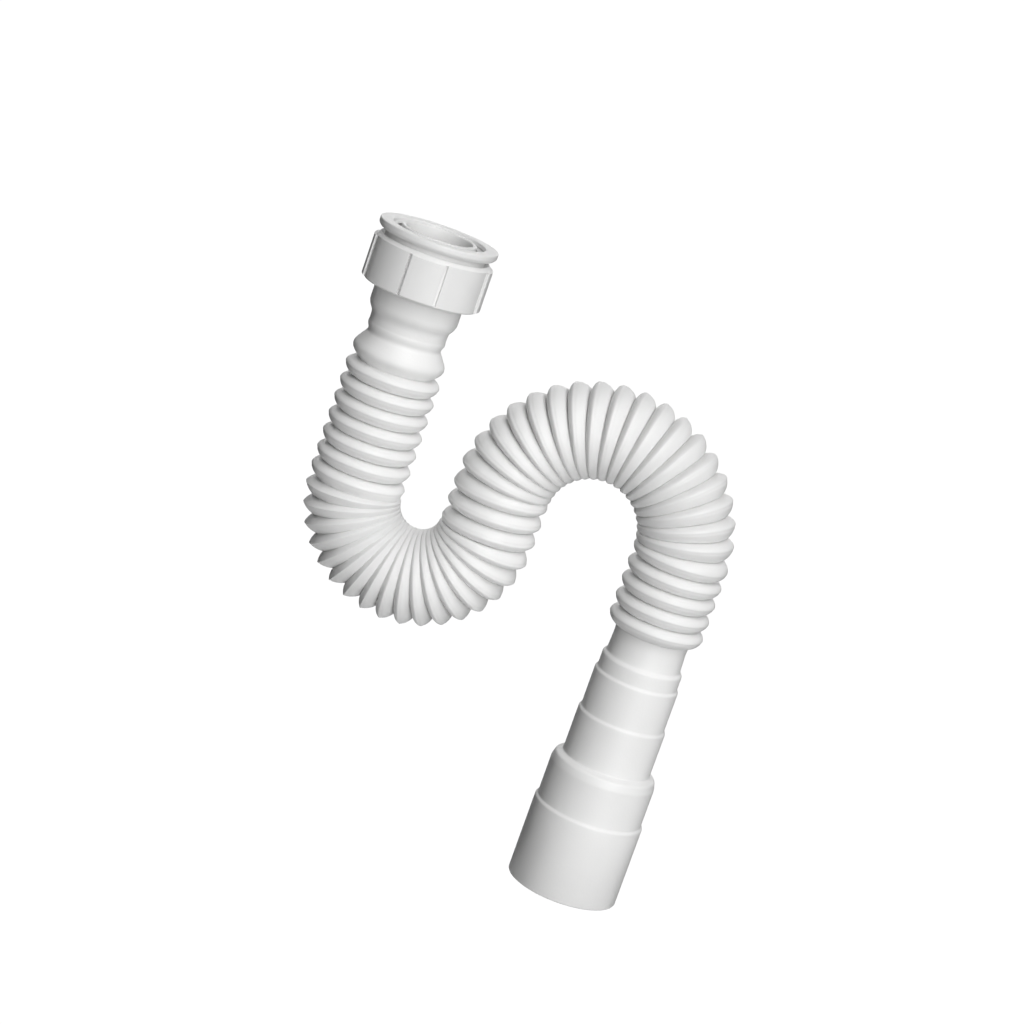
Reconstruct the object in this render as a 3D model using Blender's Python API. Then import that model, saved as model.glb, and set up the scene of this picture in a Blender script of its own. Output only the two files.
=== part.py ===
"""Flexible sink trap: a reducer with a flange, a coupling nut, two washers and a blow-moulded ringed hose.

Metres, +Z up. The origin is the centre of the flange's top face, on the inlet's axis, and the hose lies in
the XZ plane.
"""

import math

import bmesh
import bpy
from mathutils import Matrix, Vector

# Clearance between pieces that touch
SEAT_GAP = 0.0003

# Adapter
FLANGE_RADIUS = 0.02675
FLANGE_THICKNESS = 0.0039
FLANGE_BEVEL = 0.0013
FLANGE_EDGE = 0.0004
FLANGE_REACH = 0.00365
MALE_THREAD_CHAMFER = 0.0010
SOCKET_WALL = 0.0029
SOCKET_CHAMFER = 0.0009
SOCKET_DEPTH = 0.0140
SOCKET_FLOOR = 0.0030
GROOVE_WIDTH = 0.0033
BOSS_WALL = 0.0018
BOSS_EDGE = 0.0003
THREAD_WALL = 0.0037

# Coupling nut
NUT_BELOW_FLANGE = 0.0024
NUT_HEIGHT = 0.0211
NUT_INSET = 0.00065
NUT_TOP_CHAMFER = 0.0015
NUT_FOOT_CHAMFER = 0.0008
SHOULDER_THICKNESS = 0.0022
PAD_COUNT = 4
PAD_ANGLE = math.radians(35)
PAD_RISE = 0.0009
PAD_BELOW_TOP = 0.0017
PAD_ABOVE_FOOT = 0.0010
PAD_TURN = math.radians(6)

# Washers
GASKET_THICKNESS = 0.0025
WASHER_THICKNESS = 0.0025
WASHER_INSET = 0.0003

# Hose, from its lip down
LIP_THICKNESS = 0.0018
LIP_CLEARANCE = 0.0007
CUFF_INSET = 0.0032
CUFF_WALL = 0.0016
CUFF_LENGTH = 0.0141
CUFF_TAPER = 0.0034
COLLAR_INSET = 0.0024
COLLAR_LENGTH = 0.0036
BEAD_RISE = 0.0004
BEAD_WIDTH = 0.0024
WAIST_INSET = 0.0013
WAIST_LENGTH = 0.0021
DOME_RADIUS = 0.02075
DOME_RISE = 0.0080
DOME_FALL = 0.0052

# Hose rings and centre line
RING_RADIUS = 0.02145
RING_DEPTH = 0.0047
RING_WALL = 0.0010
LEG_PITCH = 0.0080
U_PITCH = 0.0056
ARCH_PITCH = 0.00687
FOLD_POWER = 1.6
INLET_LEG = 0.0551
U_RADIUS = 0.0309
RISE_LEG = 0.0200
ARCH_RADIUS = 0.0416
OUTLET_LEG = 0.0362
U_OPEN_ENDS = 0.0010
ARCH_OPEN_ENDS = 0.0036

# Outlet: neck and steps, each with its outer radius and its length
NECK_TAPER = 0.0042
NECK_RADIUS = 0.0168
NECK_LENGTH = 0.0082
STEP_RADII = (0.0183, 0.0192, 0.0201, 0.0240, 0.0250)
STEP_LENGTHS = (0.0080, 0.0194, 0.0219, 0.0227, 0.0382)
STEP_SLOPE = 1.4
SHOULDER_SLOPE = 1.2
SPIGOT_WALL = 0.0018
SPIGOT_EDGE = 0.0006

# Facets round each piece
ROUND_STEPS = 48
PAD_STEPS = 5
PAD_GAP_STEPS = 8
HOSE_STEPS = 20

# Colours
WHITE_PLASTIC = (0.86, 0.86, 0.85, 1.0)
GREY_RUBBER = (0.06, 0.06, 0.065, 1.0)

# Heights that follow from the sizes
NUT_TOP = -FLANGE_THICKNESS - NUT_BELOW_FLANGE
NUT_FOOT = NUT_TOP - NUT_HEIGHT
LIP_TOP = NUT_FOOT + SHOULDER_THICKNESS + SEAT_GAP + LIP_THICKNESS
WASHER_FOOT = LIP_TOP + SEAT_GAP
ADAPTER_FOOT = WASHER_FOOT + WASHER_THICKNESS + SEAT_GAP
GASKET_FOOT = SEAT_GAP - SOCKET_DEPTH

# Radii that follow from the flange's
NUT_RADIUS = FLANGE_RADIUS - NUT_INSET
MALE_THREAD_RADIUS = FLANGE_RADIUS - FLANGE_REACH
SOCKET_RADIUS = MALE_THREAD_RADIUS - SOCKET_WALL
BOSS_RADIUS = SOCKET_RADIUS - GROOVE_WIDTH
NUT_BORE = MALE_THREAD_RADIUS + SEAT_GAP
LIP_RADIUS = NUT_BORE - LIP_CLEARANCE
CUFF_RADIUS = MALE_THREAD_RADIUS - CUFF_INSET
SHOULDER_BORE = CUFF_RADIUS + SEAT_GAP
CUFF_BORE = CUFF_RADIUS - CUFF_WALL
COLLAR_RADIUS = CUFF_RADIUS - COLLAR_INSET
WAIST_RADIUS = COLLAR_RADIUS - WAIST_INSET


def clear_scene():
    for obj in list(bpy.data.objects):
        bpy.data.objects.remove(obj, do_unlink=True)


def make_material(name, colour, roughness):
    material = bpy.data.materials.new(name)
    material.use_nodes = True
    shader = material.node_tree.nodes["Principled BSDF"]
    shader.inputs["Base Color"].default_value = colour
    shader.inputs["Roughness"].default_value = roughness
    shader.inputs["Metallic"].default_value = 0.0
    return material


def make_object(name, bm, material, height):
    """A finished object whose origin is at this height on the inlet's axis."""
    bmesh.ops.recalc_face_normals(bm, faces=bm.faces)
    mesh = bpy.data.meshes.new(name)
    bm.to_mesh(mesh)
    bm.free()
    mesh.materials.append(material)
    mesh.shade_smooth()
    mesh.set_sharp_from_angle(angle=math.radians(35))
    obj = bpy.data.objects.new(name, mesh)
    bpy.context.scene.collection.objects.link(obj)
    obj.location.z = height
    return obj


def draw_profile(bm, points, turn=0.0):
    """A closed outline of (radius, height) points, standing at this angle round the axis."""
    spoke = Vector((math.cos(turn), math.sin(turn), 0.0))
    verts = [bm.verts.new(spoke * radius + Vector((0.0, 0.0, height))) for radius, height in points]
    edges = [bm.edges.new((verts[i - 1], verts[i])) for i in range(len(verts))]
    return verts + edges


def spin_sectors(bm, outline, sectors):
    """Turns the outline through (angle, steps) sectors that add up to a whole turn, and closes it."""
    for angle, steps in sectors:
        spun = bmesh.ops.spin(
            bm, geom=outline, cent=(0, 0, 0), axis=(0, 0, 1), angle=angle, steps=steps
        )
        outline = spun["geom_last"]
    bmesh.ops.remove_doubles(bm, verts=bm.verts, dist=1e-6)


def turned(points):
    bm = bmesh.new()
    spin_sectors(bm, draw_profile(bm, points), [(2 * math.pi, ROUND_STEPS)])
    return bm


def make_adapter(material):
    """Measured up from its lower end: thread and neck, flange, mouth, socket and boss."""
    top = -ADAPTER_FOOT
    flange_foot = top - FLANGE_THICKNESS
    floor_top = top - SOCKET_DEPTH
    floor_foot = floor_top - SOCKET_FLOOR
    boss_bore = BOSS_RADIUS - BOSS_WALL
    lower_bore = MALE_THREAD_RADIUS - THREAD_WALL
    outline = [
        (MALE_THREAD_RADIUS - MALE_THREAD_CHAMFER, 0.0),
        (MALE_THREAD_RADIUS, MALE_THREAD_CHAMFER),
        (MALE_THREAD_RADIUS, flange_foot),
        (FLANGE_RADIUS - FLANGE_BEVEL, flange_foot),
        (FLANGE_RADIUS, flange_foot + FLANGE_BEVEL),
        (FLANGE_RADIUS, top - FLANGE_EDGE),
        (FLANGE_RADIUS - FLANGE_EDGE, top),
        (SOCKET_RADIUS + SOCKET_CHAMFER, top),
        (SOCKET_RADIUS, top - SOCKET_CHAMFER),
        (SOCKET_RADIUS, floor_top),
        (BOSS_RADIUS, floor_top),
        (BOSS_RADIUS, top - BOSS_EDGE),
        (BOSS_RADIUS - BOSS_EDGE, top),
        (boss_bore, top),
        (boss_bore, floor_foot),
        (lower_bore, floor_foot),
        (lower_bore, 0.0),
    ]
    return make_object("adapter", turned(outline), material, ADAPTER_FOOT)


def make_ring(name, bore, radius, thickness, material, height):
    outline = [(bore, 0.0), (radius, 0.0), (radius, thickness), (bore, thickness)]
    return make_object(name, turned(outline), material, height)


def make_nut(material):
    """Measured up from its foot. The pads are raised from the side, one at the front."""
    pad_foot = PAD_ABOVE_FOOT
    pad_top = NUT_HEIGHT - PAD_BELOW_TOP
    outline = [
        (SHOULDER_BORE, 0.0),
        (NUT_RADIUS - NUT_FOOT_CHAMFER, 0.0),
        (NUT_RADIUS, NUT_FOOT_CHAMFER),
        (NUT_RADIUS, pad_foot),
        (NUT_RADIUS, pad_top),
        (NUT_RADIUS, NUT_HEIGHT - NUT_TOP_CHAMFER),
        (NUT_RADIUS - NUT_TOP_CHAMFER, NUT_HEIGHT),
        (NUT_BORE, NUT_HEIGHT),
        (NUT_BORE, SHOULDER_THICKNESS),
        (SHOULDER_BORE, SHOULDER_THICKNESS),
    ]
    bm = bmesh.new()
    front = math.radians(-90) + PAD_TURN
    spacing = 2 * math.pi / PAD_COUNT
    sectors = [(PAD_ANGLE, PAD_STEPS), (spacing - PAD_ANGLE, PAD_GAP_STEPS)] * PAD_COUNT
    spin_sectors(bm, draw_profile(bm, outline, front - PAD_ANGLE / 2), sectors)

    def on_pad(face):
        centre = face.calc_center_median()
        angle = (math.atan2(centre.y, centre.x) - front + PAD_ANGLE / 2) % spacing
        on_side = math.hypot(centre.x, centre.y) > NUT_RADIUS * 0.99
        return on_side and pad_foot < centre.z < pad_top and angle < PAD_ANGLE

    base = [face for face in bm.faces if on_pad(face)]
    pads = bmesh.ops.extrude_face_region(bm, geom=base)
    for vert in pads["geom"]:
        if isinstance(vert, bmesh.types.BMVert):
            share = 1 + PAD_RISE / math.hypot(vert.co.x, vert.co.y)
            vert.co = Vector((vert.co.x * share, vert.co.y * share, vert.co.z))
    bmesh.ops.delete(bm, geom=base, context="FACES")
    return make_object("coupling_nut", bm, material, NUT_FOOT)


# The hose's centre line starts at the top of its lip, where the distance along it is 0
def lead_in():
    """Distance from the lip to the foot of the dome, where the rings start."""
    cuff = CUFF_LENGTH + CUFF_TAPER + COLLAR_LENGTH
    return cuff + BEAD_WIDTH + WAIST_LENGTH + DOME_RISE + DOME_FALL


def centre_line():
    """(length, radius, side) of each stretch. The side is where a bend's centre lies, 0 for a straight."""
    return [
        (lead_in() + INLET_LEG, 0.0, 0),
        (math.pi * U_RADIUS, U_RADIUS, 1),
        (RISE_LEG, 0.0, 0),
        (math.pi * ARCH_RADIUS, ARCH_RADIUS, -1),
    ]


def place_on_line(distance):
    """(point, side direction, curvature) of the centre line at this distance from the lip."""
    point = Vector((0.0, 0.0, 0.0))
    ahead = Vector((0.0, 0.0, -1.0))
    side_way = Vector((1.0, 0.0, 0.0))
    for length, radius, side in centre_line():
        step = min(distance, length)
        if side:
            centre = point + side_way * (radius * side)
            turn = Matrix.Rotation(-side * step / radius, 3, "Y")
            point = centre + turn @ (point - centre)
            ahead = turn @ ahead
            side_way = turn @ side_way
        else:
            point = point + ahead * step
        distance -= step
        if distance <= 0.0:
            return point, side_way, side / radius if side else 0.0
    return point + ahead * distance, side_way, 0.0


def ring_zones():
    """(start, end, pitch) of each run of rings. The open rings of a leg reach a little into its bend."""
    rings_start = lead_in()
    u_start = rings_start + INLET_LEG
    u_end = u_start + math.pi * U_RADIUS
    arch_start = u_end + RISE_LEG
    arch_end = arch_start + math.pi * ARCH_RADIUS
    ends = [
        (rings_start, u_start + U_OPEN_ENDS, LEG_PITCH),
        (u_start + U_OPEN_ENDS, u_end - U_OPEN_ENDS, U_PITCH),
        (u_end - U_OPEN_ENDS, arch_start + ARCH_OPEN_ENDS, LEG_PITCH),
        (arch_start + ARCH_OPEN_ENDS, arch_end - ARCH_OPEN_ENDS, ARCH_PITCH),
        (arch_end - ARCH_OPEN_ENDS, arch_end + OUTLET_LEG, LEG_PITCH),
    ]
    zones = []
    for start, end, pitch in ends:
        count = max(1, round((end - start) / pitch))
        zones.append((start, (end - start) / count, count))
    return zones


def head_stations(wall):
    """(distance, radius) down the cuff, collar, waist and dome, on the outside or a wall further in."""
    taper_end = CUFF_LENGTH + CUFF_TAPER
    bead_start = taper_end + COLLAR_LENGTH
    waist = bead_start + BEAD_WIDTH + WAIST_LENGTH
    dome_crest = waist + DOME_RISE
    swell = DOME_RADIUS - WAIST_RADIUS
    stations = [
        (CUFF_LENGTH, CUFF_RADIUS),
        (CUFF_LENGTH + 0.4 * CUFF_TAPER, CUFF_RADIUS - 0.2 * (CUFF_RADIUS - COLLAR_RADIUS)),
        (taper_end, COLLAR_RADIUS),
        (bead_start, COLLAR_RADIUS),
        (bead_start + 0.5 * BEAD_WIDTH, COLLAR_RADIUS + BEAD_RISE),
        (bead_start + BEAD_WIDTH, COLLAR_RADIUS),
        (waist, WAIST_RADIUS),
        (waist + 0.45 * DOME_RISE, WAIST_RADIUS + 0.40 * swell),
        (waist + 0.75 * DOME_RISE, WAIST_RADIUS + 0.85 * swell),
        (dome_crest, DOME_RADIUS),
        (dome_crest + 0.5 * DOME_FALL, WAIST_RADIUS + 0.75 * swell),
    ]
    return [(distance, radius - wall, 0.0, LEG_PITCH) for distance, radius in stations]


def ring_stations(wall):
    """A root and a crest for each ring. A root's depth is taken off the crest's radius."""
    stations = []
    for start, pitch, count in ring_zones():
        for i in range(count):
            stations.append((start + i * pitch, RING_RADIUS - wall, RING_DEPTH, pitch))
            stations.append((start + (i + 0.5) * pitch, RING_RADIUS - wall, 0.0, pitch))
    return stations


def spigot_stations(wall, edge):
    """The neck and the widening steps. Inside, each step starts a wall's thickness later."""
    last_start, last_pitch, last_count = ring_zones()[-1]
    position = last_start + last_pitch * last_count
    slant = 0.45 * (RING_RADIUS - NECK_RADIUS)
    stations = [(position, NECK_RADIUS + slant, 0.0, LEG_PITCH)]
    position += NECK_TAPER
    stations.append((position, NECK_RADIUS, 0.0, LEG_PITCH))
    position += NECK_LENGTH
    radius = NECK_RADIUS
    for step_radius, length in zip(STEP_RADII, STEP_LENGTHS):
        rise = step_radius - radius
        slope = STEP_SLOPE if rise < 2 * SPIGOT_WALL else SHOULDER_SLOPE
        stations.append((position, radius, 0.0, LEG_PITCH))
        if rise >= 2 * SPIGOT_WALL:
            stations.append((position + 0.3 * slope * rise, radius + 0.75 * rise, 0.0, LEG_PITCH))
        stations.append((position + slope * rise, step_radius, 0.0, LEG_PITCH))
        position += length
        radius = step_radius
    stations.append((position - edge, radius, 0.0, LEG_PITCH))
    if edge:
        stations.append((position, radius - edge, 0.0, LEG_PITCH))
    if not wall:
        return stations
    last = len(stations) - 1
    return [
        (at if i == last else at + 0.5 * wall, radius - wall, depth, pitch)
        for i, (at, radius, depth, pitch) in enumerate(stations)
    ]


def hose_stations():
    """Down the outside from the lip to the outlet's end, and back up the inside."""
    outside = [
        (0.0, LIP_RADIUS, 0.0, LEG_PITCH),
        (LIP_THICKNESS, LIP_RADIUS, 0.0, LEG_PITCH),
        (LIP_THICKNESS, CUFF_RADIUS, 0.0, LEG_PITCH),
    ]
    outside += head_stations(0.0) + ring_stations(0.0) + spigot_stations(0.0, SPIGOT_EDGE)
    inside = [(0.0, CUFF_BORE, 0.0, LEG_PITCH)]
    inside += head_stations(CUFF_WALL) + ring_stations(RING_WALL) + spigot_stations(SPIGOT_WALL, 0.0)
    return outside + inside[::-1]


def ring_points(station):
    """The points round one station. A root is shallower where its ring is squeezed, inside a bend."""
    distance, radius, depth, pitch = station
    point, side_way, curvature = place_on_line(distance)
    points = []
    for i in range(HOSE_STEPS):
        angle = 2 * math.pi * i / HOSE_STEPS
        squeeze = 1 - curvature * radius * math.cos(angle)
        fold = min(1.0, (pitch * squeeze / LEG_PITCH) ** FOLD_POWER)
        reach = radius - depth * fold
        offset = side_way * (reach * math.cos(angle)) + Vector((0.0, reach * math.sin(angle), 0.0))
        points.append(point + offset)
    return points


def make_hose(material):
    """One skin, extruded ring by ring down the outside and back up the inside, then closed at the lip."""
    stations = hose_stations()
    bm = bmesh.new()
    loop = bmesh.ops.create_circle(bm, segments=HOSE_STEPS, radius=1.0, cap_ends=False)["verts"]
    for vert, point in zip(loop, ring_points(stations[0])):
        vert.co = point
    first_edges = list(bm.edges)
    edges = first_edges
    for station in stations[1:]:
        spread = bmesh.ops.extrude_edge_only(bm, edges=edges)["geom"]
        fresh = {item for item in spread if isinstance(item, bmesh.types.BMVert)}
        edges = [item for item in spread if isinstance(item, bmesh.types.BMEdge)]
        loop = [next(e.other_vert(v) for e in v.link_edges if e.other_vert(v) in fresh) for v in loop]
        edges = [e for e in edges if e.verts[0] in fresh and e.verts[1] in fresh]
        for vert, point in zip(loop, ring_points(station)):
            vert.co = point
    bmesh.ops.bridge_loops(bm, edges=first_edges + edges)
    return make_object("trap_hose", bm, material, LIP_TOP)


def main():
    clear_scene()
    plastic = make_material("white_plastic", WHITE_PLASTIC, 0.35)
    rubber = make_material("grey_rubber", GREY_RUBBER, 0.7)
    make_adapter(plastic)
    gasket_bore = BOSS_RADIUS + WASHER_INSET
    gasket_radius = SOCKET_RADIUS - WASHER_INSET
    make_ring("inlet_gasket", gasket_bore, gasket_radius, GASKET_THICKNESS, rubber, GASKET_FOOT)
    washer_radius = LIP_RADIUS - WASHER_INSET
    make_ring("hose_washer", CUFF_BORE, washer_radius, WASHER_THICKNESS, rubber, WASHER_FOOT)
    make_nut(plastic)
    make_hose(plastic)


main()
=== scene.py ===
import math

import bpy
from mathutils import Matrix, Vector


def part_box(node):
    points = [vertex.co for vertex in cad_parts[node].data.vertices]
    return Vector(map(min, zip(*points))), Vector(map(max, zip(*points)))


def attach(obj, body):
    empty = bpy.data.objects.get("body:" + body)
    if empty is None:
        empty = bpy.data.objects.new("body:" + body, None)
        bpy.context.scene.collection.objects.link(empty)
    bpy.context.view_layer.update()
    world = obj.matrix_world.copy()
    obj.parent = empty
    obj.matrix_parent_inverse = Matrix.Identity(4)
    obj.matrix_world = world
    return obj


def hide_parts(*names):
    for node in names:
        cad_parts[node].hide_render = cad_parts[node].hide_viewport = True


# A flexible sink trap: reducer, nut, two rubber rings and a blown hose with rings.
# Metres, +Z up, origin at the centre of the flange's top face, the bends in the XZ plane.
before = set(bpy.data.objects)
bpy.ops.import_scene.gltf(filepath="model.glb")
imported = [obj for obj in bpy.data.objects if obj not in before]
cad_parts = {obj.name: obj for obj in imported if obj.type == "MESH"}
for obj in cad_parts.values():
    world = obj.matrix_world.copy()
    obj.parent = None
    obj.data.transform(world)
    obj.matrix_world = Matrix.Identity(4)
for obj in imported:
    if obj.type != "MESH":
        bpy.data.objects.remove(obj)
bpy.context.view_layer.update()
bpy.ops.object.select_all(action="DESELECT")
print("frame loaded:", ", ".join(sorted(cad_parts)))

threadPitch = 0.002309


# Turned pieces: a circle is added, then its edge is pulled from point to point of an outline
def roundCorners(outline, steps=4):
    # each point is (radius, height, rounding); a rounded corner becomes a short curve
    points = []
    count = len(outline)
    for i, (radius, height, rounding) in enumerate(outline):
        corner = Vector((radius, height))
        before = Vector(outline[i - 1][:2]) - corner
        after = Vector(outline[(i + 1) % count][:2]) - corner
        cut = min(rounding, 0.48 * before.length, 0.48 * after.length)
        if cut <= 0.0 or i in (0, count - 1):
            points.append((radius, height))
            continue
        start = corner + before.normalized() * cut
        end = corner + after.normalized() * cut
        for step in range(steps + 1):
            t = step / steps
            point = start * (1 - t) ** 2 + corner * (2 * t * (1 - t)) + end * t ** 2
            points.append((point.x, point.y))
    return points


def addCircle(name, sides, radius, height, turn=0.0):
    bpy.ops.object.select_all(action="DESELECT")
    bpy.ops.mesh.primitive_circle_add(
        vertices=sides, radius=radius, location=(0, 0, height), rotation=(0, 0, turn)
    )
    bpy.ops.object.transform_apply(location=True, rotation=True, scale=True)
    piece = bpy.context.active_object
    piece.name = name
    piece.data.name = name
    return piece


def pullOutline(piece, points):
    # the piece's open edge starts at the first point and ends at the last
    bpy.ops.object.mode_set(mode="EDIT")
    bpy.ops.mesh.select_all(action="SELECT")
    radius, height = points[0]
    for nextRadius, nextHeight in points[1:]:
        bpy.ops.mesh.extrude_region_move(
            TRANSFORM_OT_translate={"value": (0, 0, nextHeight - height)}
        )
        ratio = nextRadius / radius
        bpy.ops.transform.resize(value=(ratio, ratio, 1), center_override=(0, 0, nextHeight))
        radius, height = nextRadius, nextHeight
    bpy.ops.object.mode_set(mode="OBJECT")


def closeSkin(piece, gap=1e-6):
    bpy.context.view_layer.objects.active = piece
    bpy.ops.object.mode_set(mode="EDIT")
    bpy.ops.mesh.select_all(action="SELECT")
    bpy.ops.mesh.remove_doubles(threshold=gap)
    bpy.ops.mesh.normals_make_consistent(inside=False)
    bpy.ops.object.mode_set(mode="OBJECT")


def turnPiece(name, sides, outline, turn=0.0):
    # a closed outline, turned about the inlet's axis into one closed skin
    points = roundCorners(outline)
    points.append(points[0])
    piece = addCircle(name, sides, points[0][0], points[0][1], turn)
    pullOutline(piece, points)
    closeSkin(piece)
    return piece


def wallRows(radius, start, end, spacing):
    # plain rows along a wall, close enough together to be cut into a thread
    rows = max(2, round(abs(end - start) / spacing))
    return [(radius, start + (end - start) * i / rows, 0.0) for i in range(rows + 1)]


def cutThread(piece, thread):
    # a right-hand thread: the wall's rows move between root and crest radius, with sloped
    # flanks and flats a sixth of the pitch wide, and it fades out towards both ends
    low, high = sorted(thread["span"])
    for vert in piece.data.vertices:
        x, y, z = vert.co
        radius = math.hypot(x, y)
        if not low - 1e-6 < z < high + 1e-6 or abs(radius - thread["wall"]) > 1e-5:
            continue
        phase = (z / threadPitch - math.atan2(y, x) / (2 * math.pi)) % 1.0
        ridge = min(1.0, max(0.0, 1.25 - 3.0 * abs(phase - 0.5)))
        ends = min(1.0, min(z - low, high - z) / thread["runOut"])
        depth = thread["crest"] - thread["root"]
        share = (thread["root"] + depth * ridge * max(0.0, ends)) / radius
        vert.co = (x * share, y * share, z)


def smooth(piece, angle=32):
    bpy.ops.object.select_all(action="DESELECT")
    piece.select_set(True)
    bpy.context.view_layer.objects.active = piece
    bpy.ops.object.shade_smooth_by_angle(angle=math.radians(angle))


def finishPiece(piece, body, node, material):
    piece.data.materials.clear()
    piece.data.materials.append(material)
    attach(piece, body)
    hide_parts(node)
    print(piece.name, "made:", len(piece.data.vertices), "vertices")


# Shader nodes
def addNode(tree, kind, place, **settings):
    node = tree.nodes.new(kind)
    node.location = (place[0] * 200, place[1] * 200)
    for key, value in settings.items():
        setattr(node, key, value)
    return node


def makePlasticSkin():
    # what every plastic here shares: cloudy tone, uneven polish and a fine mould grain
    group = bpy.data.node_groups.new("plasticSkin", "ShaderNodeTree")
    sockets = [
        ("Vector", "INPUT", "NodeSocketVector"),
        ("Cloud Size", "INPUT", "NodeSocketFloat"),
        ("Grain Size", "INPUT", "NodeSocketFloat"),
        ("Polish", "INPUT", "NodeSocketFloat"),
        ("Tone", "OUTPUT", "NodeSocketFloat"),
        ("Roughness", "OUTPUT", "NodeSocketFloat"),
        ("Height", "OUTPUT", "NodeSocketFloat"),
    ]
    for name, way, kind in sockets:
        group.interface.new_socket(name=name, in_out=way, socket_type=kind)
    given = addNode(group, "NodeGroupInput", (-4, 0))
    out = addNode(group, "NodeGroupOutput", (4, 0))
    cloudScale = addNode(group, "ShaderNodeMath", (-3, 1), operation="DIVIDE")
    cloudScale.inputs[0].default_value = 1.0
    grainScale = addNode(group, "ShaderNodeMath", (-3, -1), operation="DIVIDE")
    grainScale.inputs[0].default_value = 1.0
    cloud = addNode(group, "ShaderNodeTexNoise", (-2, 1))
    cloud.inputs["Detail"].default_value = 3.0
    grain = addNode(group, "ShaderNodeTexNoise", (-2, -1))
    grain.inputs["Detail"].default_value = 2.0
    tone = addNode(group, "ShaderNodeMapRange", (0, 1))
    tone.inputs["From Min"].default_value = 0.3
    tone.inputs["From Max"].default_value = 0.7
    tone.inputs["To Min"].default_value = 0.982
    tone.inputs["To Max"].default_value = 1.0
    uneven = addNode(group, "ShaderNodeMapRange", (0, 0))
    uneven.inputs["From Min"].default_value = 0.3
    uneven.inputs["From Max"].default_value = 0.7
    uneven.inputs["To Min"].default_value = -0.03
    uneven.inputs["To Max"].default_value = 0.03
    rough = addNode(group, "ShaderNodeMath", (2, 0), operation="ADD")
    join = group.links.new
    join(given.outputs["Cloud Size"], cloudScale.inputs[1])
    join(given.outputs["Grain Size"], grainScale.inputs[1])
    join(given.outputs["Vector"], cloud.inputs["Vector"])
    join(given.outputs["Vector"], grain.inputs["Vector"])
    join(cloudScale.outputs[0], cloud.inputs["Scale"])
    join(grainScale.outputs[0], grain.inputs["Scale"])
    join(cloud.outputs["Fac"], tone.inputs["Value"])
    join(cloud.outputs["Fac"], uneven.inputs["Value"])
    join(uneven.outputs["Result"], rough.inputs[0])
    join(given.outputs["Polish"], rough.inputs[1])
    join(tone.outputs["Result"], out.inputs["Tone"])
    join(rough.outputs[0], out.inputs["Roughness"])
    join(grain.outputs["Fac"], out.inputs["Height"])
    return group


def newMaterial(name):
    material = bpy.data.materials.new(name)
    material.use_nodes = True
    tree = material.node_tree
    shader = tree.nodes["Principled BSDF"]
    shader.location = (600, 0)
    tree.nodes["Material Output"].location = (900, 0)
    return material, tree, shader


def addSkin(tree, look):
    coords = addNode(tree, "ShaderNodeTexCoord", (-5, 0))
    skin = addNode(tree, "ShaderNodeGroup", (-3, 0), node_tree=plasticSkin)
    skin.inputs["Cloud Size"].default_value = look["cloudSize"]
    skin.inputs["Grain Size"].default_value = look["grainSize"]
    skin.inputs["Polish"].default_value = look["roughness"]
    tree.links.new(coords.outputs["Object"], skin.inputs["Vector"])
    return skin


def tintByTone(tree, skin, look):
    # the tone multiplies the plain colour
    tint = addNode(tree, "ShaderNodeMix", (-1, 1), data_type="RGBA", blend_type="MULTIPLY")
    tint.inputs["Factor"].default_value = 1.0
    tint.inputs[6].default_value = (*look["colour"], 1.0)
    tree.links.new(skin.outputs["Tone"], tint.inputs[7])
    return tint.outputs[2]


def addBump(tree, height, shader, distance, strength=1.0):
    bump = addNode(tree, "ShaderNodeBump", (1, -2))
    bump.inputs["Strength"].default_value = strength
    bump.inputs["Distance"].default_value = distance
    tree.links.new(height, bump.inputs["Height"])
    tree.links.new(bump.outputs["Normal"], shader.inputs["Normal"])


def letLightIn(shader, look):
    # milky plastic: light spreads a little way under the surface
    shader.inputs["Subsurface Weight"].default_value = look["milkiness"]
    shader.inputs["Subsurface Radius"].default_value = (1.0, 1.0, 1.0)
    shader.inputs["Subsurface Scale"].default_value = look["lightReach"]


mouldedLook = {
    "colour": (0.83, 0.83, 0.825),
    "roughness": 0.38,
    "cloudSize": 0.012,
    "grainSize": 0.0005,
    "grainDepth": 0.00002,
    "specular": 0.38,
    "milkiness": 0.25,
    "lightReach": 0.0012,
}


def makeMouldedPlastic():
    material, tree, shader = newMaterial("mouldedWhitePlastic")
    skin = addSkin(tree, mouldedLook)
    tree.links.new(tintByTone(tree, skin, mouldedLook), shader.inputs["Base Color"])
    tree.links.new(skin.outputs["Roughness"], shader.inputs["Roughness"])
    shader.inputs["Specular IOR Level"].default_value = mouldedLook["specular"]
    letLightIn(shader, mouldedLook)
    addBump(tree, skin.outputs["Height"], shader, mouldedLook["grainDepth"])
    return material


blownLook = {
    "colour": (0.85, 0.85, 0.845),
    # the colour at the bottom of the grooves, a painted shade
    "paintedShadeColour": (0.81, 0.81, 0.805),
    "roughness": 0.42,
    "cloudSize": 0.018,
    "grainSize": 0.0011,
    "grainDepth": 0.00003,
    "specular": 0.38,
    "paintedShadeStart": 0.55,
    "partingWidth": 0.02,
    "partingRise": 4.0,
    "milkiness": 0.35,
    "lightReach": 0.0015,
}


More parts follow.
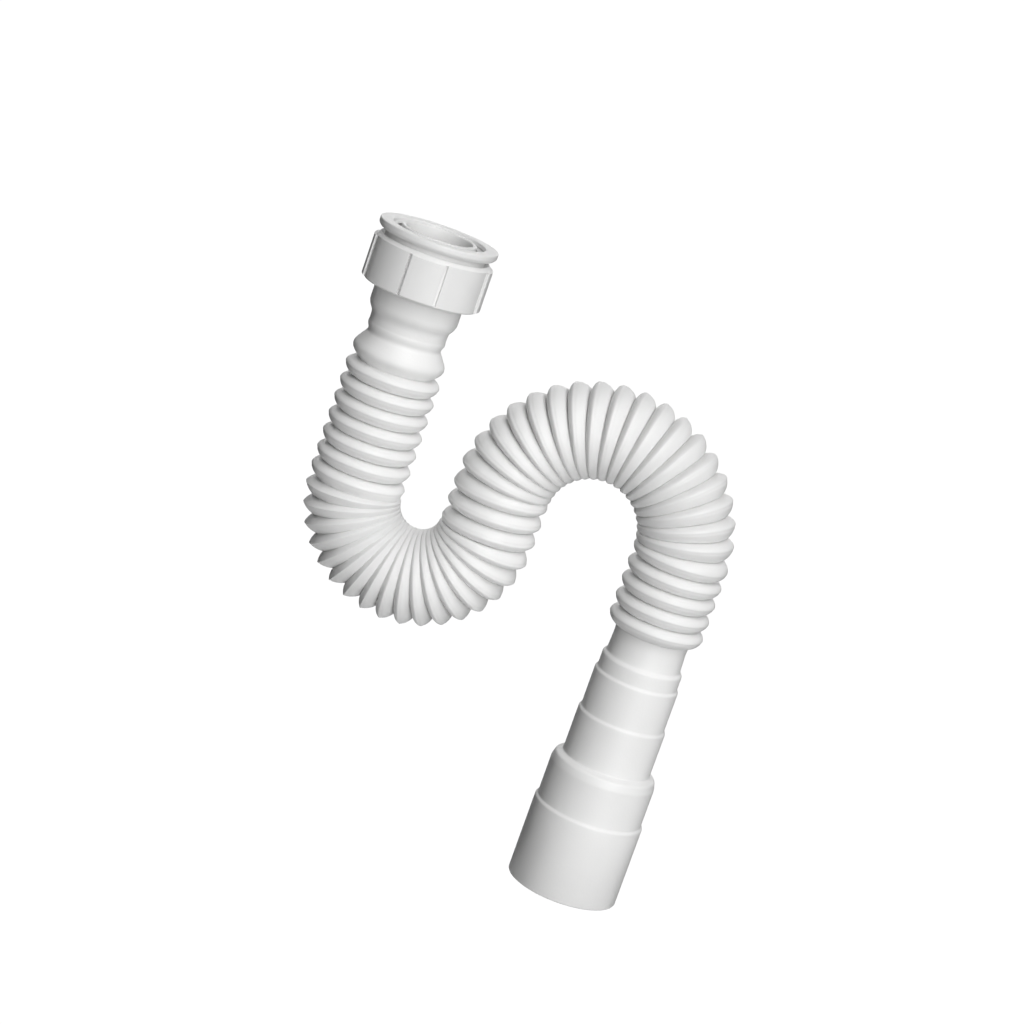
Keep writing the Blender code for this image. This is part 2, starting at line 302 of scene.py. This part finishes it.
def makeBlownPlastic():
    material, tree, shader = newMaterial("blownWhitePlastic")
    join = tree.links.new
    skin = addSkin(tree, blownLook)
    # the hose keeps how deep in a groove each point lies; deep in each groove the colour is
    # darkened as painted shade
    groove = addNode(tree, "ShaderNodeAttribute", (-3, 3), attribute_name="groove")
    shadeByDepth = addNode(tree, "ShaderNodeMapRange", (-1, 3), interpolation_type="SMOOTHSTEP")
    shadeByDepth.inputs["From Min"].default_value = blownLook["paintedShadeStart"]
    shadeByDepth.inputs["From Max"].default_value = 1.0
    # painted shade: the colour turns darker towards the bottom of each groove, standing in for
    # the shade between the rings
    shadeMix = addNode(tree, "ShaderNodeMix", (1, 2), data_type="RGBA")
    shadeMix.inputs[7].default_value = (*blownLook["paintedShadeColour"], 1.0)
    join(groove.outputs["Fac"], shadeByDepth.inputs["Value"])
    join(shadeByDepth.outputs["Result"], shadeMix.inputs["Factor"])
    join(tintByTone(tree, skin, blownLook), shadeMix.inputs[6])
    join(shadeMix.outputs[2], shader.inputs["Base Color"])
    join(skin.outputs["Roughness"], shader.inputs["Roughness"])
    # the blow mould's halves leave a fine line along both sides
    across = addNode(tree, "ShaderNodeAttribute", (-3, -3), attribute_name="across")
    line = addNode(tree, "ShaderNodeMapRange", (-1, -3), interpolation_type="SMOOTHSTEP")
    line.inputs["From Min"].default_value = blownLook["partingWidth"]
    line.inputs["From Max"].default_value = 0.0
    height = addNode(tree, "ShaderNodeMath", (0, -3), operation="MULTIPLY_ADD")
    height.inputs[1].default_value = blownLook["partingRise"]
    join(across.outputs["Fac"], line.inputs["Value"])
    join(line.outputs["Result"], height.inputs[0])
    join(skin.outputs["Height"], height.inputs[2])
    shader.inputs["Specular IOR Level"].default_value = blownLook["specular"]
    letLightIn(shader, blownLook)
    addBump(tree, height.outputs[0], shader, blownLook["grainDepth"])
    return material


rubberLook = {
    "colour": (0.05, 0.05, 0.053),
    "roughness": 0.62,
    "cloudSize": 0.006,
    "grainSize": 0.0004,
    "grainDepth": 0.00006,
    "specular": 0.35,
}


def makeRubber():
    material, tree, shader = newMaterial("greyRubber")
    skin = addSkin(tree, rubberLook)
    tree.links.new(tintByTone(tree, skin, rubberLook), shader.inputs["Base Color"])
    tree.links.new(skin.outputs["Roughness"], shader.inputs["Roughness"])
    shader.inputs["Specular IOR Level"].default_value = rubberLook["specular"]
    addBump(tree, skin.outputs["Height"], shader, rubberLook["grainDepth"])
    return material


plasticSkin = makePlasticSkin()
mouldedPlastic = makeMouldedPlastic()
blownPlastic = makeBlownPlastic()
rubber = makeRubber()
print("materials ready")

# Reducer
reducer = {
    "sides": 96,
    "flangeThickness": 0.0039,
    "flangeBevel": 0.0013,
    "neckRadius": 0.0226,
    "neckFoot": -0.0074,
    "footRadius": 0.0218,
    "maleRoot": 0.02235,
    "maleCrest": 0.0236,
    "maleWall": 0.0230,
    "mouthRadius": 0.0212,
    "socketRadius": 0.0202,
    "femaleRoot": 0.0208,
    "femaleCrest": 0.0196,
    "socketDepth": 0.0140,
    "threadFoot": -0.0106,
    "bossRadius": 0.0169,
    "bossBore": 0.0151,
    "bossTop": -0.0002,
    "floorFoot": -0.0170,
    "lowerBore": 0.0194,
    "rowSpacing": 0.00026,
    "threadLead": 0.0012,
    "threadRelief": 0.0004,
    "runOut": 0.0010,
}


def makeReducer():
    low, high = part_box("adapter")
    top = high[2]
    foot = low[2]
    flangeRadius = high[0]
    underside = top - reducer["flangeThickness"]
    threadTop = reducer["neckFoot"] - reducer["threadRelief"]
    threadBottom = foot + reducer["threadLead"]
    socketTop = top - reducer["threadLead"]
    outline = [
        (reducer["lowerBore"], reducer["floorFoot"], 0.0),
        (reducer["lowerBore"], foot, 0.0003),
        (reducer["footRadius"], foot, 0.0003),
    ]
    outline += wallRows(reducer["maleWall"], threadBottom, threadTop, reducer["rowSpacing"])
    outline += [
        (reducer["neckRadius"], reducer["neckFoot"], 0.0002),
        (reducer["neckRadius"], underside, 0.0005),
        (flangeRadius - reducer["flangeBevel"], underside, 0.0003),
        (flangeRadius, underside + reducer["flangeBevel"], 0.0006),
        (flangeRadius, top, 0.0006),
        (reducer["mouthRadius"], top, 0.0004),
        (reducer["socketRadius"], socketTop, 0.0),
    ]
    outline += wallRows(
        reducer["socketRadius"], socketTop, reducer["threadFoot"], reducer["rowSpacing"]
    )
    outline += [
        (reducer["socketRadius"], -reducer["socketDepth"], 0.0003),
        (reducer["bossRadius"], -reducer["socketDepth"], 0.0004),
        (reducer["bossRadius"], reducer["bossTop"], 0.0005),
        (reducer["bossBore"], reducer["bossTop"], 0.0005),
        (reducer["bossBore"], reducer["floorFoot"], 0.0004),
    ]
    piece = turnPiece("reducer", reducer["sides"], outline)
    cutThread(piece, {
        "span": (threadBottom, threadTop),
        "wall": reducer["maleWall"],
        "root": reducer["maleRoot"],
        "crest": reducer["maleCrest"],
        "runOut": reducer["runOut"],
    })
    cutThread(piece, {
        "span": (reducer["threadFoot"], socketTop),
        "wall": reducer["socketRadius"],
        "root": reducer["femaleRoot"],
        "crest": reducer["femaleCrest"],
        "runOut": reducer["runOut"],
    })
    smooth(piece)
    finishPiece(piece, "reducer", "adapter", mouldedPlastic)


# Coupling nut
nut = {
    "sides": 120,
    "turn": math.radians(1.5),
    "wallRadius": 0.0261,
    "wallReach": 0.0002,
    "topChamfer": 0.0015,
    "footChamfer": 0.0008,
    "boreRadius": 0.0235,
    "entryRadius": 0.0243,
    "femaleRoot": 0.0241,
    "femaleCrest": 0.0228,
    "shoulder": 0.0022,
    "shoulderBore": 0.0202,
    "rowSpacing": 0.00026,
    "threadLead": 0.0012,
    "threadRelief": 0.0026,
    "runOut": 0.0002,
    "padCount": 4,
    "padAngle": math.radians(33),
    "padTurn": math.radians(-84),
    "padRise": 0.00087,
    "padBelowTop": 0.0017,
    "padAboveFoot": 0.0010,
    "padEdge": 0.00022,
    "slotAngle": math.radians(3),
    "slotDepth": 0.0011,
    "creaseAngle": 20,
}


def makeNut():
    low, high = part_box("coupling_nut")
    foot = low[2]
    top = high[2]
    wall = nut["wallRadius"]
    threadTop = top - nut["threadLead"]
    threadFoot = foot + nut["shoulder"] + nut["threadRelief"]
    padTop = top - nut["padBelowTop"]
    padFoot = foot + nut["padAboveFoot"]
    outline = [
        (nut["entryRadius"], top, 0.0),
        (wall - nut["topChamfer"], top, 0.0004),
        (wall, top - nut["topChamfer"], 0.0004),
        (wall, padTop, 0.0),
        (wall, padFoot, 0.0),
        (wall, foot + nut["footChamfer"], 0.0002),
        (wall - nut["footChamfer"], foot, 0.0003),
        (nut["shoulderBore"], foot, 0.0003),
        (nut["shoulderBore"], foot + nut["shoulder"], 0.0003),
        (nut["boreRadius"], foot + nut["shoulder"], 0.0004),
    ]
    outline += wallRows(nut["boreRadius"], threadFoot, threadTop, nut["rowSpacing"])
    piece = turnPiece("couplingNut", nut["sides"], outline, nut["turn"])
    raisePads(piece, padFoot, padTop)
    cutThread(piece, {
        "span": (threadFoot, threadTop),
        "wall": nut["boreRadius"],
        "root": nut["femaleCrest"],
        "crest": nut["femaleRoot"],
        "runOut": nut["runOut"],
    })
    smooth(piece, nut["creaseAngle"])
    finishPiece(piece, "nut", "coupling_nut", mouldedPlastic)


def pushWall(piece, span, start, end, distance):
    # the wall's faces between two angles from each pad's middle move in or out
    spacing = 2 * math.pi / nut["padCount"]
    bpy.ops.object.mode_set(mode="EDIT")
    bpy.ops.mesh.select_all(action="DESELECT")
    bpy.ops.object.mode_set(mode="OBJECT")
    for face in piece.data.polygons:
        x, y, z = face.center
        fromMiddle = (math.atan2(y, x) - nut["padTurn"] + spacing / 2) % spacing - spacing / 2
        onWall = abs(math.hypot(x, y) - nut["wallRadius"]) < nut["wallReach"]
        face.select = onWall and span[0] < z < span[1] and start < abs(fromMiddle) < end
    bpy.ops.object.mode_set(mode="EDIT")
    bpy.ops.mesh.select_mode(type="FACE")
    bpy.ops.mesh.extrude_region_move()
    ratio = 1 + distance / nut["wallRadius"]
    bpy.ops.transform.resize(value=(ratio, ratio, 1), center_override=(0, 0, 0))


def raisePads(piece, padFoot, padTop):
    # four grip pads, with a narrow slot down both sides of each
    half = nut["padAngle"] / 2
    pushWall(piece, (padFoot, padTop), half, half + nut["slotAngle"], -nut["slotDepth"])
    pushWall(piece, (padFoot, padTop), -1.0, half, nut["padRise"])
    bpy.ops.mesh.region_to_loop()
    bpy.ops.mesh.bevel(offset=nut["padEdge"], segments=2, affect="EDGES")
    bpy.ops.object.mode_set(mode="OBJECT")


# Rubber rings
rings = {"sides": 96, "rounding": 0.0004, "gasketBore": 0.0172, "washerBore": 0.0184}


def makeRubberRing(name, node, body, bore):
    low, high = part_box(node)
    outline = [
        (bore, (low[2] + high[2]) / 2, 0.0),
        (bore, low[2], rings["rounding"]),
        (high[0], low[2], rings["rounding"]),
        (high[0], high[2], rings["rounding"]),
        (bore, high[2], rings["rounding"]),
    ]
    piece = turnPiece(name, rings["sides"], outline)
    smooth(piece)
    finishPiece(piece, body, node, rubber)


makeReducer()
makeNut()
makeRubberRing("inletGasket", "inlet_gasket", "reducer", rings["gasketBore"])
makeRubberRing("hoseWasher", "hose_washer", "washer", rings["washerBore"])

# Hose: made straight, hanging down from its lip, and bent last
hose = {
    "sides": 68,
    "cuffRadius": 0.0199,
    "cuffWall": 0.0016,
    "crestRadius": 0.02145,
    "ringDepth": 0.0047,
    "ringWall": 0.0010,
    "headLength": 0.0388,
    "inletLeg": 0.0551,
    "uRadius": 0.0309,
    "riseLeg": 0.0200,
    "archRadius": 0.0416,
    "outletLeg": 0.0362,
    "uOpenEnds": 0.0010,
    "archOpenEnds": 0.0036,
    "fullPitch": 0.0080,
    "foldPower": 1.8,
    "easeLength": 0.0050,
    "foldAfterCrest": 0.08,
    "foldWidth": 0.045,
    "foldDepth": 0.035,
    "rootSoftness": 0.15,
    "farRoundness": 0.85,
    "outletLength": 0.1226,
    "spigotWall": 0.0018,
    "endBevel": 0.0007,
    "weldGap": 2e-6,
    "creaseAngle": 50,
}

grooveRadius = hose["crestRadius"] - hose["ringDepth"]
uLength = math.pi * hose["uRadius"]
archLength = math.pi * hose["archRadius"]
# The rings of the legs start a little way inside the bends
inletRun = hose["inletLeg"] + hose["uOpenEnds"]
uRun = uLength - 2 * hose["uOpenEnds"]
riseRun = hose["riseLeg"] + hose["uOpenEnds"] + hose["archOpenEnds"]
archRun = archLength - 2 * hose["archOpenEnds"]
outletRun = hose["outletLeg"] + hose["archOpenEnds"]

# Runs of equal rings along the hose: how many, how long, how round, and where the crest lies
ringRuns = [
    {"count": 7, "length": inletRun, "roundness": 0.92, "crestAt": 0.41},
    {"count": 8, "length": uRun * 8 / 17, "roundness": 0.55, "crestAt": 0.36},
    {"count": 9, "length": uRun * 9 / 17, "roundness": 0.75, "crestAt": 0.38},
    {"count": 3, "length": riseRun, "roundness": 0.92, "crestAt": 0.42},
    {"count": 18, "length": archRun, "roundness": 0.90, "crestAt": 0.34},
    {"count": 5, "length": outletRun, "roundness": 0.95, "crestAt": 0.44},
]
ringShares = [0.0, 0.03, 0.07, 0.12, 0.18, 0.24, 0.30, 0.35, 0.40, 0.44, 0.48, 0.52, 0.56, 0.61]
ringShares += [0.67, 0.74, 0.81, 0.88, 0.93, 0.97]
innerShares = [0.0, 0.20, 0.40, 0.60, 0.80]

# Plain stretches as (radius, distance along the hose, rounding)
headOutline = [
    (0.0227, 0.0, 0.0004),
    (0.0227, 0.0018, 0.0004),
    (hose["cuffRadius"], 0.0018, 0.0003),
    (hose["cuffRadius"], 0.0139, 0.0024),
    (0.01745, 0.0173, 0.0016),
    (0.0174, 0.0212, 0.0010),
    (0.0176, 0.0222, 0.0008),
    (0.0174, 0.0234, 0.0012),
    (0.0163, 0.0256, 0.0035),
    (0.0219, 0.0338, 0.0045),
    (grooveRadius, hose["headLength"], 0.0),
]
# The neck below the last groove, in the same way
neckOutline = [
    (grooveRadius, 0.0, 0.0),
    (0.0165, 0.0036, 0.0014),
]
neckRadius = 0.0169
# Steps of the outlet as (distance from the last groove, radius below the step, slope's length)
steps = [
    (0.0124, 0.0183, 0.0013),
    (0.0204, 0.0192, 0.0010),
    (0.0398, 0.0201, 0.0010),
    (0.0617, 0.0240, 0.0050),
    (0.0844, 0.0250, 0.0010),
]
shoulder = {
    "shortest": 0.003,
    "rise": 0.75,
    "reach": 0.3,
    "rounding": 0.0009,
    "stepTop": 0.0005,
    "stepFoot": 0.0008,
}


def ringHeight(share, run):
    # 0 in the groove, 1 on the crest, with a shallow fold just past it and a less round far side
    crestAt = run["crestAt"]
    if share < crestAt:
        way = share / crestAt
        roundness = run["roundness"]
    else:
        way = (1 - share) / (1 - crestAt)
        roundness = run["roundness"] * hose["farRoundness"]
    height = (1 - roundness) * way + roundness * math.sqrt(1 - (1 - way) ** 2)
    soft = hose["rootSoftness"]
    height = (math.hypot(height, soft) - soft) / (math.hypot(1.0, soft) - soft)
    foldAt = crestAt + hose["foldAfterCrest"]
    fold = hose["foldDepth"] * math.exp(-((share - foldAt) / hose["foldWidth"]) ** 2)
    return height - fold


def makeRingRun(run, start, inner):
    pitch = run["length"] / run["count"]
    wall = hose["ringWall"] if inner else 0.0
    points = []
    for share in innerShares if inner else ringShares:
        height = ringHeight(share, run) if share else 0.0
        radius = grooveRadius + hose["ringDepth"] * height - wall
        points.append((radius, -start - share * pitch))
    points.append((grooveRadius - wall, -start - pitch))
    piece = addCircle("ringRun", hose["sides"], *points[0])
    pullOutline(piece, points)
    array = piece.modifiers.new("rings", "ARRAY")
    array.count = run["count"]
    array.use_relative_offset = False
    array.use_constant_offset = True
    array.constant_offset_displace = (0, 0, -pitch)
    array.use_merge_vertices = True
    array.merge_threshold = 1e-6
    bpy.ops.object.modifier_apply(modifier=array.name)
    return piece


def makePlainRun(points):
    piece = addCircle("plainRun", hose["sides"], *points[0])
    pullOutline(piece, points)
    return piece


def spigotOutline(start, wall):
    # each step slopes out over a short length; inside it starts a little later
    outline = []
    for radius, distance, rounding in neckOutline:
        outline.append((radius - wall, -start - distance, rounding))
    radius = neckRadius
    for distance, nextRadius, length in steps:
        top = -start - distance - 0.5 * wall
        outline.append((radius - wall, top, shoulder["stepTop"]))
        if length > shoulder["shortest"]:
            # a wide step is a round shoulder, steep at its end
            bulge = radius + shoulder["rise"] * (nextRadius - radius)
            outline.append((bulge - wall, top - shoulder["reach"] * length, shoulder["rounding"]))
        outline.append((nextRadius - wall, top - length, shoulder["stepFoot"]))
        radius = nextRadius
    outline.append((radius - wall, -start - hose["outletLength"], 0.0))
    return outline


def makeHead():
    # lip, cuff, collar and dome, outside and inside
    cuffBore = hose["cuffRadius"] - hose["cuffWall"]
    outer = [(cuffBore, 0.0, 0.0)]
    for radius, distance, rounding in headOutline:
        outer.append((radius, -distance, rounding))
    inner = [(cuffBore, 0.0, 0.0)]
    for radius, distance, rounding in headOutline[3:-1]:
        inner.append((radius - hose["cuffWall"], -distance, rounding))
    inner.append((grooveRadius - hose["ringWall"], -hose["headLength"], 0.0))
    return [makePlainRun(roundCorners(outer)), makePlainRun(roundCorners(inner))]


def makeSpigot(start):
    # down the outside, round the bevelled end and up the inside
    outer = roundCorners(spigotOutline(start, 0.0))
    endRadius, end = outer.pop()
    bevel = hose["endBevel"]
    outer += [
        (endRadius, end + bevel),
        (endRadius - 0.4 * bevel, end + 0.3 * bevel),
        (endRadius - bevel, end),
    ]
    inner = roundCorners(spigotOutline(start, hose["spigotWall"]))
    inner[0] = (grooveRadius - hose["ringWall"], -start)
    return makePlainRun(outer + inner[::-1])


def makeStraightHose():
    pieces = makeHead()
    start = hose["headLength"]
    for run in ringRuns:
        pieces.append(makeRingRun(run, start, False))
        pieces.append(makeRingRun(run, start, True))
        start += run["length"]
    pieces.append(makeSpigot(start))
    bpy.ops.object.select_all(action="DESELECT")
    for piece in pieces:
        piece.select_set(True)
    bpy.context.view_layer.objects.active = pieces[0]
    bpy.ops.object.join()
    whole = bpy.context.active_object
    whole.name = "trapHose"
    whole.data.name = "trapHose"
    closeSkin(whole, hose["weldGap"])
    return whole


def trapLine():
    # (length, bend radius, side of the bend's centre) from the lip down
    return [
        (hose["headLength"] + hose["inletLeg"], 0.0, 0),
        (uLength, hose["uRadius"], 1),
        (hose["riseLeg"], 0.0, 0),
        (archLength, hose["archRadius"], -1),
    ]


def placeOnTrap(distance, top):
    # the centre line's point this far down from the lip, and its direction in the bends' plane
    point = Vector((0.0, 0.0, top))
    ahead = Vector((0.0, 0.0, -1.0))
    sideWay = Vector((1.0, 0.0, 0.0))
    for length, radius, side in trapLine():
        step = min(distance, length)
        if side:
            centre = point + sideWay * (radius * side)
            turn = Matrix.Rotation(-side * step / radius, 3, "Y")
            point = centre + turn @ (point - centre)
            ahead = turn @ ahead
            sideWay = turn @ sideWay
        else:
            point = point + ahead * step
        distance -= step
        if distance <= 0.0:
            break
    return point + ahead * max(0.0, distance), sideWay


def bendAt(distance):
    # how much the hose bends here, eased in and out, and the rings' pitch
    bend = 0.0
    position = 0.0
    for length, radius, side in trapLine():
        if side:
            into = (distance - position) / hose["easeLength"]
            outOf = (position + length - distance) / hose["easeLength"]
            share = max(0.0, min(1.0, 0.5 + 0.5 * into, 0.5 + 0.5 * outOf))
            bend += side / radius * share * share * (3 - 2 * share)
        position += length
    position = hose["headLength"]
    for run in ringRuns:
        if position <= distance < position + run["length"]:
            return bend, run["length"] / run["count"]
        position += run["length"]
    return bend, hose["fullPitch"]


def bendHose(piece):
    # rings close up on the inside of a bend, so their grooves get shallow there
    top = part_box("trap_hose")[1][2]
    mesh = piece.data
    groove = mesh.attributes.new("groove", "FLOAT", "POINT")
    across = mesh.attributes.new("across", "FLOAT", "POINT")
    ringsEnd = hose["headLength"] + sum(run["length"] for run in ringRuns)
    rows = {}
    for vert in mesh.vertices:
        x, y, z = vert.co
        key = round(-z, 7)
        if key not in rows:
            rows[key] = placeOnTrap(-z, top) + bendAt(-z)
        point, sideWay, bend, pitch = rows[key]
        radius = math.hypot(x, y)
        crest = hose["crestRadius"]
        newRadius = radius
        if hose["headLength"] < -z < ringsEnd:
            squeeze = 1 - bend * crest * x / radius
            fold = min(1.0, (pitch * squeeze / hose["fullPitch"]) ** hose["foldPower"])
            depth = max(0.0, crest - radius)
            groove.data[vert.index].value = depth / hose["ringDepth"] * fold
            newRadius += depth * (1 - fold)
        across.data[vert.index].value = abs(y) / radius
        x *= newRadius / radius
        y *= newRadius / radius
        vert.co = point + sideWay * x + Vector((0.0, y, 0.0))


def makeHose():
    piece = makeStraightHose()
    bendHose(piece)
    smooth(piece, hose["creaseAngle"])
    finishPiece(piece, "hose", "trap_hose", blownPlastic)


makeHose()

# Camera: the photo looks down a little, and the trap leans in it
view = {
    "lookAt": (0.0691, 0.0, -0.1041),
    "place": (0.1953, -1.4427, 0.2356),
    "lean": math.radians(19.33),
    "focalPixels": 3411,
    "imagePixels": 1024,
}


def makeCamera():
    sensor = 36.0
    data = bpy.data.cameras.new("photoCamera")
    data.sensor_width = sensor
    data.lens = sensor * view["focalPixels"] / view["imagePixels"]
    data.clip_start = 0.05
    data.clip_end = 200.0
    camera = bpy.data.objects.new("photoCamera", data)
    bpy.context.scene.collection.objects.link(camera)
    place = Vector(view["place"])
    aim = (Vector(view["lookAt"]) - place).to_track_quat("-Z", "Y").to_matrix().to_4x4()
    camera.matrix_world = Matrix.Translation(place) @ aim @ Matrix.Rotation(view["lean"], 4, "Z")
    bpy.context.scene.camera = camera


studio = {
    "floorHeight": -0.75,
    "floorSize": 60.0,
    "floorColour": (0.12, 0.12, 0.12, 1.0),
    "floorGlow": 0.97,
    "ambient": 0.02,
    "keyStrength": 1.62,
    "keyAngle": math.radians(30),
    "keyFrom": (0.42, -0.88, 0.20),
    "topStrength": 1.6,
    "topAngle": math.radians(45),
    "topFrom": (0.29, -0.60, 0.75),
    "lowStrength": 0.8,
    "lowAngle": math.radians(60),
    "lowFrom": (0.36, -0.73, -0.58),
    "backStrength": 2.4,
    "backAngle": math.radians(40),
    "backFrom": (-0.3, 1.0, 0.25),
    "flagMiddle": 0.07,
    "flagRadius": 1.0,
    "flagReach": math.radians(65),
    "flagTop": -0.02,
    "flagLift": 0.01,
}


def addSun(name, comesFrom, strength, angle, shines):
    data = bpy.data.lights.new(name, "SUN")
    data.energy = strength
    data.angle = angle
    lamp = bpy.data.objects.new(name, data)
    lamp.visible_glossy = shines
    bpy.context.scene.collection.objects.link(lamp)
    lamp.rotation_euler = Vector(comesFrom).to_track_quat("Z", "Y").to_euler()


def addSeenMask(tree):
    # 1 for rays from the camera, from reflections and through clear things, else 0
    path = addNode(tree, "ShaderNodeLightPath", (-4, 0))
    seen = addNode(tree, "ShaderNodeMath", (-3, 0), operation="MAXIMUM")
    shown = addNode(tree, "ShaderNodeMath", (-2, 0), operation="MAXIMUM")
    tree.links.new(path.outputs["Is Camera Ray"], seen.inputs[0])
    tree.links.new(path.outputs["Is Glossy Ray"], seen.inputs[1])
    tree.links.new(seen.outputs[0], shown.inputs[0])
    tree.links.new(path.outputs["Is Transmission Ray"], shown.inputs[1])
    return shown.outputs[0]


def makeFloor():
    bpy.ops.object.select_all(action="DESELECT")
    bpy.ops.mesh.primitive_plane_add(
        size=studio["floorSize"], location=(0, 0, studio["floorHeight"])
    )
    floor = bpy.context.active_object
    floor.name = "floor"
    floor.visible_shadow = False
    material = bpy.data.materials.new("paleFloor")
    material.use_nodes = True
    tree = material.node_tree
    tree.nodes.clear()
    join = tree.links.new
    out = addNode(tree, "ShaderNodeOutputMaterial", (4, 0))
    diffuse = addNode(tree, "ShaderNodeBsdfDiffuse", (0, 0))
    diffuse.inputs["Color"].default_value = studio["floorColour"]
    glow = addNode(tree, "ShaderNodeEmission", (0, -1))
    strength = addNode(tree, "ShaderNodeMath", (-1, -1), operation="MULTIPLY")
    strength.inputs[1].default_value = studio["floorGlow"]
    both = addNode(tree, "ShaderNodeAddShader", (2, 0))
    join(addSeenMask(tree), strength.inputs[0])
    join(strength.outputs[0], glow.inputs["Strength"])
    join(diffuse.outputs[0], both.inputs[0])
    join(glow.outputs[0], both.inputs[1])
    # from below, the floor doesn't hide the trap
    geometry = addNode(tree, "ShaderNodeNewGeometry", (0, 2))
    clear = addNode(tree, "ShaderNodeBsdfTransparent", (2, 1))
    side = addNode(tree, "ShaderNodeMixShader", (3, 0))
    join(geometry.outputs["Backfacing"], side.inputs["Fac"])
    join(both.outputs[0], side.inputs[1])
    join(clear.outputs[0], side.inputs[2])
    join(side.outputs[0], out.inputs["Surface"])
    floor.data.materials.append(material)


def makeFlag():
    # a low black screen behind the trap, seen only in reflections, darkens the outlines
    bpy.ops.object.select_all(action="DESELECT")
    foot = studio["floorHeight"] + studio["flagLift"]
    bpy.ops.mesh.primitive_circle_add(
        vertices=48, radius=studio["flagRadius"], location=(studio["flagMiddle"], 0, foot)
    )
    flag = bpy.context.active_object
    flag.name = "darkScreen"
    bpy.ops.object.transform_apply(location=True)
    bpy.ops.object.mode_set(mode="EDIT")
    bpy.ops.mesh.extrude_region_move(
        TRANSFORM_OT_translate={"value": (0, 0, studio["flagTop"] - foot)}
    )
    bpy.ops.mesh.select_all(action="DESELECT")
    bpy.ops.object.mode_set(mode="OBJECT")
    front = math.cos(studio["flagReach"]) * studio["flagRadius"]
    for face in flag.data.polygons:
        face.select = face.center.y < front
    bpy.ops.object.mode_set(mode="EDIT")
    bpy.ops.mesh.select_mode(type="FACE")
    bpy.ops.mesh.delete(type="FACE")
    bpy.ops.object.mode_set(mode="OBJECT")
    flag.visible_camera = False
    flag.visible_shadow = False
    flag.visible_diffuse = False
    material, tree, shader = newMaterial("blackCloth")
    shader.inputs["Base Color"].default_value = (0.01, 0.01, 0.01, 1.0)
    shader.inputs["Roughness"].default_value = 1.0
    flag.data.materials.append(material)


def makeWorld():
    # white to the camera and in reflections, a plain soft light to everything else
    world = bpy.data.worlds.new("studio")
    bpy.context.scene.world = world
    world.use_nodes = True
    tree = world.node_tree
    tree.nodes.clear()
    join = tree.links.new
    out = addNode(tree, "ShaderNodeOutputWorld", (4, 0))
    background = addNode(tree, "ShaderNodeBackground", (3, 0))
    background.inputs["Color"].default_value = (1, 1, 1, 1)
    strength = addNode(tree, "ShaderNodeMapRange", (1, 0))
    strength.inputs["To Min"].default_value = studio["ambient"]
    strength.inputs["To Max"].default_value = 1.0
    join(addSeenMask(tree), strength.inputs["Value"])
    join(strength.outputs["Result"], background.inputs["Strength"])
    join(background.outputs[0], out.inputs["Surface"])


makeCamera()
makeFloor()
makeFlag()
makeWorld()
for name in ("key", "top", "low", "back"):
    # the back light shows no glare on the flange's top
    place, strength, angle = (studio[name + end] for end in ("From", "Strength", "Angle"))
    addSun(name + "Light", place, strength, angle, name != "back")
bpy.context.scene.view_settings.view_transform = "Standard"
print("camera, floor and lights ready")
